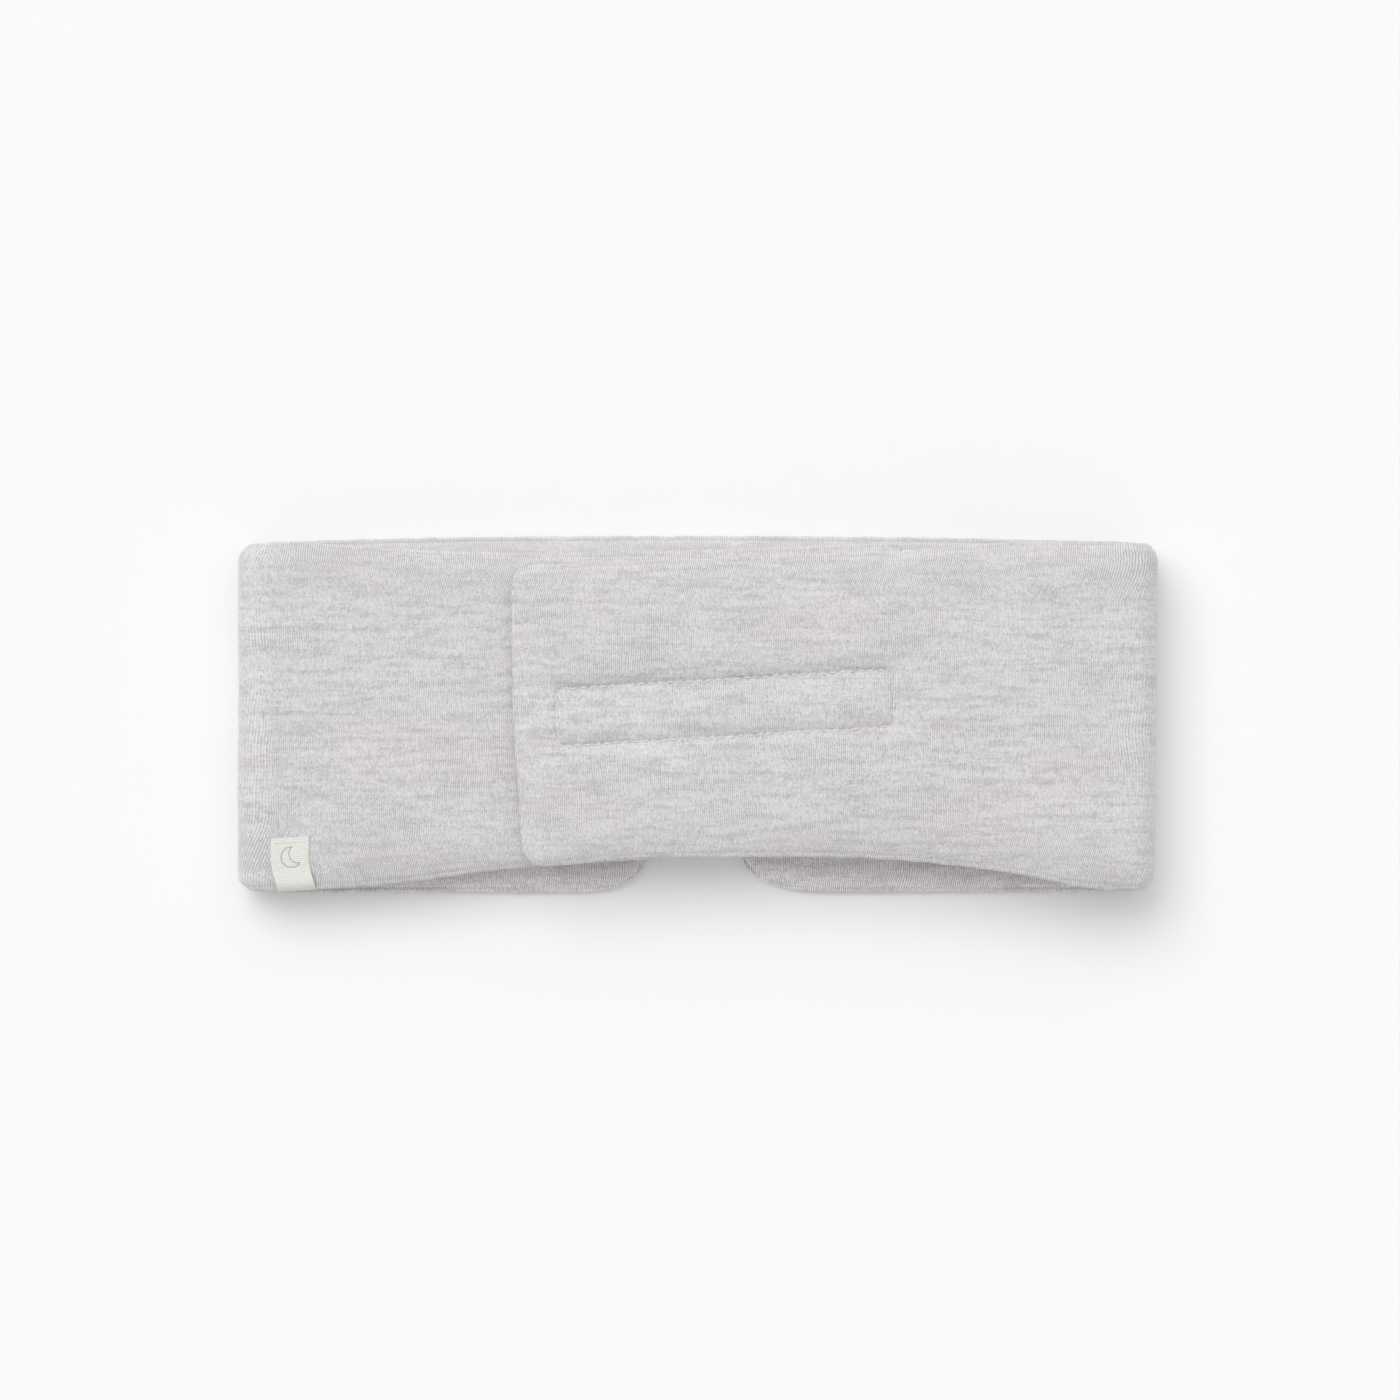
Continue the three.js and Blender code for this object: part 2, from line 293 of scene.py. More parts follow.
def staggered_grid(outline, step):
    """Points of a triangular grid over the outline's box."""
    low, high = outline.min(0), outline.max(0)
    rows = []
    for i, y in enumerate(np.arange(low[1], high[1], step * math.sqrt(3) / 2)):
        x = np.arange(low[0] + (i % 2) * step / 2, high[0], step)
        rows.append(np.column_stack([x, np.full(len(x), y)]))
    return np.vstack(rows)


def far_from(points, others, distance):
    if len(others) == 0:
        return points
    near = np.array([np.linalg.norm(others - p, axis=1).min() for p in points])
    return points[near > distance]


def triangulate(outline, rings, step, extra=()):
    """The points inside an outline, the outline's own first, and the triangles between them."""
    grid = staggered_grid(outline, step)
    grid = grid[edge_distance(grid, outline) > rings[-1] + 0.55 * step]
    if len(extra):
        grid = far_from(grid, extra, 0.4 * step)
        points = [outline, *(inner_ring(outline, d) for d in rings), extra, grid]
    else:
        points = [outline, *(inner_ring(outline, d) for d in rings), grid]
    points = np.vstack(points)
    loop = list(range(len(outline)))
    found, _, triangles, *_ = delaunay_2d_cdt([Vector(p) for p in points], [], [loop], 1, 1e-4, False)
    if len(found) != len(points):
        raise ValueError("points of the pattern fell together")
    triangles = np.array([list(t) for t in triangles])
    return points, triangles[(triangles >= len(outline)).any(axis=1)]


def in_scene(name, data):
    made = bpy.data.objects.new(name, data)
    bpy.context.scene.collection.objects.link(made)
    return made


def mesh_object(name, points, faces, scale=MM):
    """A smooth mesh in the scene. Its faces are lists of points."""
    mesh = bpy.data.meshes.new(name)
    mesh.from_pydata((np.asarray(points) * scale).tolist(), [], faces)
    mesh.polygons.foreach_set("use_smooth", [True] * len(mesh.polygons))
    return in_scene(name, mesh)


def two_sheets(outline, rings, step, extra=()):
    """An upper and a lower sheet that share the outline: flat points, their side (1 or -1, and 0 on the
    outline) and the triangles, upper sheet first."""
    flat, triangles = triangulate(outline, rings, step, extra)
    seam = len(outline)
    lower = np.arange(len(flat))
    lower[seam:] += len(flat) - seam
    points = np.vstack([flat, flat[seam:]])
    side = np.concatenate([np.zeros(seam), np.ones(len(flat) - seam), -np.ones(len(flat) - seam)])
    return points, side, np.vstack([triangles, lower[triangles][:, ::-1]])


def store(mesh, name, values):
    """Keeps a value for each point, so that a subdivision carries it along."""
    attribute = mesh.attributes.new(name, "FLOAT", "POINT")
    attribute.data.foreach_set("value", np.asarray(values, np.float32))


def stored(mesh, name):
    values = np.zeros(len(mesh.vertices), np.float32)
    mesh.attributes[name].data.foreach_get("value", values)
    return values.astype(float)


def coordinates(mesh):
    values = np.zeros(3 * len(mesh.vertices), np.float32)
    mesh.vertices.foreach_get("co", values)
    return values.reshape(-1, 3).astype(float)


def set_coordinates(mesh, points):
    mesh.vertices.foreach_set("co", np.asarray(points, np.float32).ravel())
    mesh.update()


def evaluated(made):
    graph = bpy.context.evaluated_depsgraph_get()
    return bpy.data.meshes.new_from_object(
        made.evaluated_get(graph), preserve_all_data_layers=True, depsgraph=graph)


def paint_uv(mesh, name, uv):
    """A UV map from a value for each point."""
    layer = mesh.uv_layers.new(name=name)
    corners = np.zeros(len(mesh.loops), int)
    mesh.loops.foreach_get("vertex_index", corners)
    layer.data.foreach_set("uv", np.asarray(uv, np.float32)[corners].ravel())


# The pad, flat

def rolled(depth, roll, height):
    """The height of a surface whose edge is rolled, this deep in from the edge."""
    t = np.clip(depth / roll, 0, 1)
    return height * np.sqrt(1 - (1 - t) ** 2)


def at_left_fold(s):
    """1 at the middle of the left-hand bend, down to 0 away from it."""
    return np.exp(-((s + LEFT_RUN + math.pi * LEFT_RADIUS / 2) / LEFT_FOLD_WIDTH) ** 2)


def at_right_fold(s):
    """The same for the right-hand bend."""
    return np.exp(-((s - RIGHT_RUN - math.pi * RIGHT_RADIUS / 2) / RIGHT_FOLD_WIDTH) ** 2)


def slack_height(s, depth):
    """Half the thickness of the pad before it swells: thin at its edges, but not at the folds."""
    edge_half = EDGE_HALF + (SLACK_HALF - EDGE_HALF) * (at_left_fold(s) + at_right_fold(s))
    return rolled(depth, ROLL, edge_half) + (SLACK_HALF - edge_half) * ramp(depth, 0, EDGE_REACH)


def channel_points():
    """The pattern's points along and beside the stitches of both wings."""
    points = []
    for wing in (RIGHT_WING, LEFT_WING):
        for row in ROWS.values():
            half = row[1] / 2
            along = np.arange(-half, half + 0.01, ROW_STEP)
            for across in CHANNEL_LINES:
                points.append(box_to_pattern(row_points(row, along, across), wing))
    points = np.vstack(points)
    kept = points[:1]
    for point in points[1:]:
        if np.linalg.norm(kept - point, axis=1).min() > LEAST_GAP:
            kept = np.vstack([kept, point])
    return kept


def near_rows(points, reach):
    """Whether each point lies on a stitched row of either wing."""
    near = np.zeros(len(points), bool)
    for wing in (RIGHT_WING, LEFT_WING):
        local = pattern_to_box(points, wing)
        for row in ROWS.values():
            along, across = in_row(local, row)
            near |= (np.abs(along) < row[1] / 2 + reach) & (np.abs(across) < reach)
    return near


SWELL_FRAMES = 20
LIFE_SIZES = 10  # the pad swells at ten times life size, where the cloth solver is steady
SEWN_REACH = 0.5  # how far from a row's middle the pad is held
SEWN_DIP = 0.5  # how deep it is held there


def swell(made, pinned):
    """Blows the pad up a little, with its seam and its sewn rows held."""
    made.vertex_groups.new(name="sewn").add(pinned.tolist(), 1.0, "REPLACE")
    cloth = made.modifiers.new("Cloth", "CLOTH")
    settings = cloth.settings
    settings.quality = 5
    settings.mass = 0.4
    settings.tension_stiffness = 12
    settings.compression_stiffness = 12
    settings.shear_stiffness = 6
    settings.bending_stiffness = 0.8
    settings.use_pressure = True
    settings.uniform_pressure_force = 4
    settings.shrink_min = -0.012
    settings.vertex_group_mass = "sewn"
    settings.effector_weights.gravity = 0
    cloth.collision_settings.use_collision = False
    cloth.point_cache.frame_start = 1
    cloth.point_cache.frame_end = SWELL_FRAMES
    for number in range(1, SWELL_FRAMES + 1):
        bpy.context.scene.frame_set(number)
    mesh = evaluated(made)
    result = coordinates(mesh)
    bpy.data.meshes.remove(mesh)
    made.modifiers.remove(cloth)
    bpy.context.scene.frame_set(1)
    return result


def swollen_pad():
    """The flat pad after it has swelled and been subdivided once, in millimetres."""
    outline = band_outline()
    points, side, faces = two_sheets(outline, RINGS, GRID_STEP, channel_points())
    depth = np.maximum(edge_distance(points, outline), 0)
    depth[side == 0] = 0
    sewn = near_rows(points, SEWN_REACH)
    height = slack_height(points[:, 0], depth)
    at_fold = at_left_fold(points[:, 0]) + at_right_fold(points[:, 0])
    height *= np.where(side < 0, 1 - FOLD_THINNING * at_fold, 1)
    start = np.column_stack([points, side * np.where(sewn, height - SEWN_DIP, height)])
    used = np.unique(faces)
    points, side, depth, sewn, start = (values[used] for values in (points, side, depth, sewn, start))
    faces = np.searchsorted(used, faces)
    made = mesh_object("pad", start, faces.tolist(), LIFE_SIZES * MM)
    store(made.data, "flat_s", points[:, 0])
    store(made.data, "flat_y", points[:, 1])
    store(made.data, "side", side)
    store(made.data, "depth", depth)
    moved = swell(made, np.flatnonzero((side == 0) | sewn)) / (LIFE_SIZES * MM) - start
    size = np.linalg.norm(moved, axis=1, keepdims=True)
    moved *= SWELL_CAP * np.tanh(size / SWELL_CAP) / np.maximum(size, 1e-9)
    start = start + moved
    set_coordinates(made.data, start)
    subdivision = made.modifiers.new("Subdivision", "SUBSURF")
    subdivision.levels = 1
    subdivision.render_levels = 1
    mesh = evaluated(made)
    bpy.data.objects.remove(made)
    return mesh


# How deep each row draws the fabric in, how far that reaches outside and inside the box, and where inside
# is, across the row
ROW_RELIEF = {
    "upper": (1.05, 4.5, 11.0, -1),
    "lower": (0.36, 1.8, 4.0, 1),
    "left": (0.14, 2.0, 2.0, 0),
    "right": (0.05, 2.0, 2.0, 0),
}
CREASE = 0.12  # a sharp crease at the thread itself
CREASE_REACH = 0.7
HOLE = 0.32  # how deep the needle holes are
HOLE_REACH = 0.55
PUCKER = 0.06  # the puckers' share of a row's depth
PUCKER_REACH = 2.2
TAPED_SHARE = 0.45  # how much of it all is left under a tape

SLOW_WAVES = (0.16, 34)  # the jersey's unevenness: how high and how long its waves are
FINE_WAVES = (0.07, 9)
EDGE_WAVES = (0.1, 7)
EDGE_WAVES_REACH = 2.5
SEAM_DEPTH = 0.95  # how far in from the edge the groove beside the seam is
SEAM_WIDTH = 0.3
LINING_SEAM = 0.55  # how deep the groove is on each face
SHELL_SEAM = 0.3


def row_relief(local, row, depth, reach, pillow_reach, inside):
    """How deep a sewn row draws the fabric in, with its puckers and its needle holes."""
    along, across = in_row(local, row)
    past = np.maximum(np.abs(along) - row[1] / 2, 0)
    distance = np.hypot(past, across)
    within = (inside * across > 0) & (past == 0)
    pillow = (1 - np.minimum(distance / pillow_reach, 1)) ** 1.5
    channel = depth * np.where(within, pillow, np.exp(-distance / reach))
    channel += CREASE * depth * np.exp(-distance / CREASE_REACH)
    phase = math.tau * along / STITCH
    wander = waves(np.column_stack([along, across]), 9, 5)
    pucker = PUCKER * depth * np.cos(phase + wander) * np.exp(-distance / PUCKER_REACH) * (past < 0.1)
    holes = HOLE * np.exp(-(distance / HOLE_REACH) ** 2) * np.maximum(np.cos(phase), 0) ** 3 * (past < 0.3)
    return channel + pucker + holes


def relief(mesh):
    """The pad's fine shape: sewn channels, the seam beside the edge, and a soft unevenness."""
    flat = np.column_stack([stored(mesh, "flat_s"), stored(mesh, "flat_y")])
    side, depth = stored(mesh, "side"), stored(mesh, "depth")
    points = coordinates(mesh)
    inside = np.clip(depth / ROLL, 0, 1)
    sink = -SLOW_WAVES[0] * waves(flat, SLOW_WAVES[1], 1) * inside
    sink -= FINE_WAVES[0] * waves(flat, FINE_WAVES[1], 2) * inside

    for wing, other in ((RIGHT_WING, -1), (LEFT_WING, 1)):
        local = pattern_to_box(flat, wing)
        for name, row in ROWS.items():
            taped = np.sign(side) == other
            sink += row_relief(local, row, *ROW_RELIEF[name]) * np.where(taped, TAPED_SHARE, 1)

    seam = np.where(side < 0, LINING_SEAM, SHELL_SEAM) * np.exp(-((depth - SEAM_DEPTH) / SEAM_WIDTH) ** 2)
    edge_wave = EDGE_WAVES[0] * waves(flat, EDGE_WAVES[1], 3) * np.exp(-depth / EDGE_WAVES_REACH)
    points[:, 2] -= side * (sink + seam)
    points[:, 2] += FOLD_FULLNESS * at_left_fold(flat[:, 0]) * inside * (side > 0)
    points[:, 1] += edge_wave * np.sign(points[:, 1])
    return points


# Folding

LEAN = 1.1  # how far the right-hand fold leans in at its lower end
LEAN_FROM, LEAN_OVER = 40.0, 84.0
TIP_SAG = 1.5  # how far the right wing's end comes down on to the left wing
TIP_SAG_FROM, TIP_SAG_TO = -CLOSURE[0] + HOOK_TAPE[0] / 2 - 3, 48.0  # along -X
EDGE_SAG = 1.1  # how far its long edges come down, beside the closure
EDGE_SAG_FROM, EDGE_SAG_TO = 13.0, 38.0  # across from the closure
EDGE_SAG_START, EDGE_SAG_FULL = -95.0, -60.0  # along -X
FLOOR_CLEARANCE = 0.02

RIGHT_SQUARENESS = 3.5  # 2 is a round bend
LEFT_SQUARENESS = 2.4
BEND_POINTS = 2001  # of the curve that is measured
BEND_STEPS = 720  # of equal length that it is kept in


def bend_profile(squareness):
    """A bend of radius 1, at equal steps of its length: how far out and up its points and normals are."""
    turn = np.linspace(0, math.pi, BEND_POINTS)
    out, up = np.abs(np.sin(turn)), np.abs(np.cos(turn))
    sign = np.sign(np.cos(turn))
    points = np.column_stack([out ** (2 / squareness), sign * up ** (2 / squareness)])
    normals = np.column_stack([out ** (2 - 2 / squareness), sign * up ** (2 - 2 / squareness)])
    normals /= np.linalg.norm(normals, axis=1, keepdims=True)
    lengths = np.concatenate([[0], np.cumsum(np.linalg.norm(np.diff(points, axis=0), axis=1))])
    where = np.linspace(0, lengths[-1], BEND_STEPS + 1)
    columns = np.hstack([points, normals]).T
    return np.array([np.interp(where, lengths, column) for column in columns])


RIGHT_BEND = bend_profile(RIGHT_SQUARENESS)
LEFT_BEND = bend_profile(LEFT_SQUARENESS)


def fold(points):
    """Points of the flat pattern folded round the hinges, in the frame's millimetres."""
    s, y, h = np.asarray(points, float).T
    right = s > 0
    run = np.where(right, RIGHT_RUN, LEFT_RUN)
    hinge = np.where(right, RIGHT_Z, LEFT_Z)
    radius = hinge - HALF
    past = np.maximum(np.abs(s) - run, 0)
    turn = np.minimum(past / radius, math.pi)
    beyond = np.maximum(past - math.pi * radius, 0)
    lean = LEAN * np.clip((LEAN_FROM - y) / LEAN_OVER, 0, 1) * np.sin(turn) ** 2 * right
    steps = np.linspace(0, math.pi, BEND_STEPS + 1)
    out, up, normal_out, normal_up = (
        np.where(right, np.interp(turn, steps, a), np.interp(turn, steps, b))
        for a, b in zip(RIGHT_BEND, LEFT_BEND))
    x = np.minimum(np.abs(s), run) + radius * out + h * normal_out - beyond - lean
    x *= np.where(right, 1, -1)
    z = hinge - radius * up - h * normal_up

    tip = TIP_SAG * ramp(-x, TIP_SAG_FROM, TIP_SAG_TO)
    beside = EDGE_SAG * ramp(np.abs(y - CLOSURE[1]), EDGE_SAG_FROM, EDGE_SAG_TO)
    beside *= ramp(-x, EDGE_SAG_START, EDGE_SAG_FULL)
    z -= np.where(right & (turn > math.pi / 2), np.maximum(tip, beside), 0)
    z = np.where(turn < math.pi / 2, np.maximum(z, FLOOR_CLEARANCE), z)
    return np.column_stack([x, y, z])


# The two pads

def parted(mesh, name, keep_right, materials):
    """One side of the folded band as a closed pad, shaded as if it weren't parted."""
    bm = bmesh.new()
    bm.from_mesh(mesh)
    where = bm.verts.layers.float["flat_s"]
    gone = [f for f in bm.faces if (sum(v[where] for v in f.verts) / len(f.verts) > NOSE) != keep_right]
    bmesh.ops.delete(bm, geom=gone, context="FACES")
    rim = [e for e in bm.edges if e.is_boundary]
    bmesh.ops.holes_fill(bm, edges=rim, sides=0)
    bmesh.ops.recalc_face_normals(bm, faces=bm.faces)
    half = bpy.data.meshes.new(name)
    bm.to_mesh(half)
    bm.free()
    made = in_scene(name, half)
    for material in materials:
        half.materials.append(material)
    half.polygons.foreach_set("use_smooth", [True] * len(half.polygons))
    normals = np.column_stack([stored(half, axis) for axis in ("normal_x", "normal_y", "normal_z")])
    half.normals_split_custom_set_from_vertices(normals.tolist())
    for attribute in ("flat_s", "flat_y", "side", "depth", "normal_x", "normal_y", "normal_z"):
        half.attributes.remove(half.attributes[attribute])
    return made


def cut_at_nose(mesh):
    """Gives the mesh a line of edges where it is to be parted."""
    bm = bmesh.new()
    bm.from_mesh(mesh)
    geometry = [*bm.verts, *bm.edges, *bm.faces]
    bmesh.ops.bisect_plane(bm, geom=geometry, dist=1e-5, plane_co=(NOSE, 0, 0), plane_no=(1, 0, 0))
    bm.to_mesh(mesh)
    bm.free()


def pads(materials):
    """The two pads, and the flat band's surface for what is sewn on it."""
    mesh = swollen_pad()
    set_coordinates(mesh, relief(mesh))
    surface = BVHTree.FromPolygons(
        coordinates(mesh).tolist(), [tuple(p.vertices) for p in mesh.polygons])
    cut_at_nose(mesh)
    flat = np.column_stack([stored(mesh, "flat_s"), stored(mesh, "flat_y")])
    side = stored(mesh, "side")
    sides = [sum(side[v] for v in polygon.vertices) < 0 for polygon in mesh.polygons]
    mesh.polygons.foreach_set("material_index", np.array(sides, np.int32))
    paint_uv(mesh, "knit", flat)
    set_coordinates(mesh, fold(coordinates(mesh)) * MM)
    mesh.flip_normals()
    mesh.update()
    normals = np.array([tuple(v.normal) for v in mesh.vertices])
    for axis, values in zip(("normal_x", "normal_y", "normal_z"), normals.T):
        store(mesh, axis, values)
    left = parted(mesh, "left_side_pad", False, materials)
    right = parted(mesh, "right_side_pad", True, materials)
    bpy.data.meshes.remove(mesh)
    return left, right, surface


RAY_START = 20.0  # clear of the pad's surface


def surface_height(surface, point, side, beside=HALF):
    """The height of the flat band's shell (side 1) or lining (side -1) at a point of s and y, or beside it."""
    hit = surface.ray_cast(Vector((point[0], point[1], RAY_START * side)), Vector((0, 0, -side)))
    return hit[0].z if hit[0] else side * beside


TAPE_REST = 0.06  # from the pad to the tape sewn on it
TAPE_GROUND = 0.4
EVENED = 1.6 * np.array([(0, 0), (1, 0), (-1, 0), (0, 1), (0, -1)])


def tape_side(wing):
    """The side of a wing that its tape is sewn to: the right one's lining, the left one's shell."""
    return -1 if wing == RIGHT_WING else 1


def under_tape(surface, flat, wing):
    """The height of the pad under a tape at points of s and y, evened out."""
    side = tape_side(wing)
    return np.array([np.mean([surface_height(surface, p + step, side) for step in EVENED]) for p in flat])


# Thread

TUBE_END = 0.55  # how thin a tube's ends are


def tube(path, radius, sides=7, ply=0.0, twist=0.0):
    """A closed tube along a path, with its ends drawn in. ply and twist shape a two-ply thread."""
    path = np.asarray(path, float)
    along = np.gradient(path, axis=0)
    along /= np.linalg.norm(along, axis=1, keepdims=True)
    up = np.array([0.0, 0.0, 1.0])
    across = np.cross(along, up)
    upright = np.linalg.norm(across, axis=1) < 1e-3
    across[upright] = (1.0, 0.0, 0.0)
    across /= np.linalg.norm(across, axis=1, keepdims=True)
    normal = np.cross(across, along)
    count = len(path)
    angle = np.linspace(0, math.tau, sides, endpoint=False)
    taper = np.ones(count)
    taper[[0, -1]] = TUBE_END
    size = radius * taper[:, None] * (1 + ply * np.cos(2 * angle + twist * np.arange(count)[:, None]))
    ring = np.cos(angle)[:, None] * across[:, None, :] + np.sin(angle)[:, None] * normal[:, None, :]
    points = (path[:, None, :] + size[..., None] * ring).reshape(-1, 3)
    i, j = np.meshgrid(np.arange(count - 1), np.arange(sides), indexing="ij")
    a, b = i * sides + j, i * sides + (j + 1) % sides
    quads = np.stack([a, b, b + sides, a + sides], axis=-1).reshape(-1, 4).tolist()
    ends = [list(range(sides))[::-1], list(range((count - 1) * sides, count * sides))]
    return points, quads + ends


def joined(parts):
    """Several meshes as one."""
    points, faces, first = [], [], 0
    for part_points, part_faces in parts:
        points.append(part_points)
        faces.extend([[v + first for v in face] for face in part_faces])
        first += len(part_points)
    return np.vstack(points), faces


def outward_object(name, points, faces):
    """A mesh in the scene with its faces turned outwards."""
    made = mesh_object(name, points, faces)
    made.data.validate()
    bm = bmesh.new()
    bm.from_mesh(made.data)
    bmesh.ops.recalc_face_normals(bm, faces=bm.faces)
    bm.to_mesh(made.data)
    bm.free()
    return made


STITCH_GAP = 0.55  # between two stitches, where the thread goes in
STITCH_RISE = 0.2
STITCH_SINK = 0.42  # how deep its ends go in
STITCH_POINTS = 9
PLY = 0.13  # how far the thread is from round, with its two plies
TWIST = 1.1
ARCH = 0.6  # how soon a stitch rises to its full height: 1 is a sine
FOLLOWED = 0.4  # the share of the fabric's unevenness that a stitch follows
STITCH_WANDER = 0.12  # how far a stitch may lie beside its row
STITCH_SLANT = 0.1


def stitch_chain(row, height, seed):
    """One side of a row of stitches: height gives the surface's h and its side at a point of u and v."""
    rng = np.random.default_rng(seed)
    half = row[1] / 2
    parts = []
    for first in np.arange(-half, half - STITCH / 2, STITCH):
        t = np.linspace(0, 1, STITCH_POINTS)
        along = first + STITCH_GAP / 2 + (STITCH - STITCH_GAP) * t
        across = rng.uniform(-STITCH_WANDER, STITCH_WANDER) + STITCH_SLANT * (t - 0.5)
        local = row[0] + turned(np.column_stack([along, across]), row[2])
        arch = np.sin(math.pi * t) ** ARCH
        surface, side = height(local)
        lift = -STITCH_SINK + (STITCH_SINK + STITCH_RISE) * arch
        parts.append((local, surface, side * lift))
    return parts


def sewn_row(name, row, wing, surface, seed):
    """A row of stitches through a wing: on the fabric on one side and on the tape on the other."""
    fabric_side = -tape_side(wing)

    def on_fabric(local):
        flat = box_to_pattern(local, wing)
        found = np.array([surface_height(surface, p, fabric_side) for p in flat])
        return found.mean() + FOLLOWED * (found - found.mean()), fabric_side

    def on_tape(local):
        pad = under_tape(surface, box_to_pattern(local, wing), wing)
        return pad - fabric_side * (TAPE_REST + TAPE_GROUND), -fabric_side

    parts = []
    for height in (on_fabric, on_tape):
        for local, h, lift in stitch_chain(row, height, seed):
            flat = box_to_pattern(local, wing)
            path = fold(np.column_stack([flat, h + lift]))
            parts.append(tube(path, THREAD / 2, 8, PLY, TWIST))
    return outward_object(name, *joined(parts))


# Tapes

HOOK_PITCH = 1.45  # along a line of hooks
HOOK_JITTER = 0.05
HOOK_PATH = ((0, 0, -0.05), (0, 0, 0.2), (0.03, 0, 0.36), (0.14, 0, 0.46), (0.27, 0, 0.43), (0.32, 0, 0.3))
HOOK_WIRE = 0.15
PILE_PITCH = 1.05
PILE_JITTER = 0.3
PILE_SIZES = (0.7, 1.15)
PILE_SINK = 0.05
PILE_LOOP = (0.42, 0.1, 0.36)  # half its width, its sway and its height
PILE_YARN = 0.11
LINE_SHARE = 0.8  # from line to line, as a share of the pitch along a line
TAPE_BORDER = 1.3  # left bare along a tape's edges
ROW_END_CLEARANCE = 0.5  # from a row of stitches to the next hook or loop
ROW_CLEARANCE = 0.45
HOOK_RIB = 0.9
LOOP_RIB = 1.1
RIB_HEIGHT = 0.03
TAPE_RINGS = (0.35, 0.8)
TAPE_STEP = 1.3


def rounded_rectangle(length, width, corner, step=1.0):
    corners = []
    for cx, cy, start in ((-1, -1, 180), (1, -1, 270), (1, 1, 0), (-1, 1, 90)):
        angles = np.radians(np.linspace(start, start + 90, 6))
        centre = np.array([cx * (length / 2 - corner), cy * (width / 2 - corner)])
        corners.append(centre + corner * np.column_stack([np.cos(angles), np.sin(angles)]))
    return resample(np.vstack(corners), step)


def tape_cloth(name, size, wing, surface, rib):
    """The woven ground of a tape, with its ribs along its length, lying on the pad."""
    outline = rounded_rectangle(*size, TAPE_CORNER)
    points, side, faces = two_sheets(outline, TAPE_RINGS, TAPE_STEP)
    depth = np.maximum(edge_distance(points, outline), 0)
    lift = rolled(depth, TAPE_RINGS[0], TAPE_GROUND / 2)
    lift += (depth > 0.3) * RIB_HEIGHT * np.sin(math.tau * points[:, 1] / rib)
    flat = box_to_pattern(points, wing)
    middle = under_tape(surface, flat, wing) + tape_side(wing) * (TAPE_REST + TAPE_GROUND / 2)
    made = mesh_object(name, fold(np.column_stack([flat, middle + side * lift])), faces.tolist())
    paint_uv(made.data, "knit", points)
    return made


def scattered(template, places, turns, sizes, wing, surface, sink=0.0):
    """Copies of a small mesh, stood on a tape, sunk this far into it. Places are in u and v."""
    points, faces = template
    all_points, all_faces = [], []
    count = len(points)
    direction = tape_side(wing)
    bases = under_tape(surface, box_to_pattern(places, wing), wing)
    bases += direction * (TAPE_REST + TAPE_GROUND - sink)
    for i, (place, turn, size, base) in enumerate(zip(places, turns, sizes, bases)):
        around = turned(points[:, :2] * size, turn) + place
        flat = box_to_pattern(around, wing)
        all_points.append(np.column_stack([flat, base + direction * points[:, 2] * size]))
        all_faces.extend([[v + i * count for v in face] for face in faces])
    return fold(np.vstack(all_points)), all_faces


def hook():
    """One hook, standing at the origin."""
    return tube(HOOK_PATH, HOOK_WIRE / 2, 5)


def pile_loop():
    """One loop of the pile, standing at the origin."""
    t = np.linspace(0, math.pi, 7)
    path = np.column_stack([np.cos(t), np.sin(2 * t), np.sin(t)]) * PILE_LOOP
    return tube(path, PILE_YARN / 2, 4)


def tape_places(size, pitch, rng, jitter):
    """Where hooks or loops stand on a tape, in u and v, clear of its stitches."""
    u = np.arange(-size[0] / 2 + TAPE_BORDER, size[0] / 2 - TAPE_BORDER, pitch)
    v = np.arange(-size[1] / 2 + TAPE_BORDER, size[1] / 2 - TAPE_BORDER, pitch * LINE_SHARE)
    places = np.array([(a + (i % 2) * pitch / 2, b) for i, b in enumerate(v) for a in u])
    places += rng.uniform(-jitter, jitter, places.shape)
    clear = np.ones(len(places), bool)
    for row in ROWS.values():
        along, across = in_row(places, row)
        clear &= (np.abs(along) > row[1] / 2 + ROW_END_CLEARANCE) | (np.abs(across) > ROW_CLEARANCE)
    return places[clear]


def hook_tape(surface):
    """The stiff tape under the right wing."""
    cloth = tape_cloth("hook_tape_ground", HOOK_TAPE, RIGHT_WING, surface, HOOK_RIB)
    places = tape_places(HOOK_TAPE, HOOK_PITCH, np.random.default_rng(11), HOOK_JITTER)
    turns = np.where(np.arange(len(places)) % 2, 0, math.pi)
    hooks = scattered(hook(), places, turns, np.ones(len(places)), RIGHT_WING, surface)
    return cloth, outward_object("hook_tape_hooks", *hooks)


def loop_tape(surface):
    """The soft tape on the left wing."""
    cloth = tape_cloth("loop_tape_ground", LOOP_TAPE, LEFT_WING, surface, LOOP_RIB)
    rng = np.random.default_rng(12)
    places = tape_places(LOOP_TAPE, PILE_PITCH, rng, PILE_JITTER)
    turns = rng.uniform(0, math.tau, len(places))
    sizes = rng.uniform(*PILE_SIZES, len(places))
    loops = scattered(pile_loop(), places, turns, sizes, LEFT_WING, surface, PILE_SINK)
    return cloth, outward_object("loop_tape_pile", *loops)


# The label

LABEL_ROWS = 220
LABEL_COLUMNS = 26
LABEL_CLEARANCE = 0.24
LABEL_LOOP = 0.5  # how far the ribbon's fold stands off the wing's edge
LABEL_RIB_HEIGHT = 0.045
LABEL_WARP = 0.22  # from one warp end to the next
SELVEDGE_FROM = 0.44  # of the ribbon's width, out from its middle
SELVEDGE_SINK = 0.03
LABEL_EDGE_THINNING = 0.1
LABEL_BOW = 0.4  # how far the ribbon bows to the left
LABEL_FLARE = 0.7  # how far it drifts to the right at the wing's edge
LABEL_FLARE_REACH = 3.5


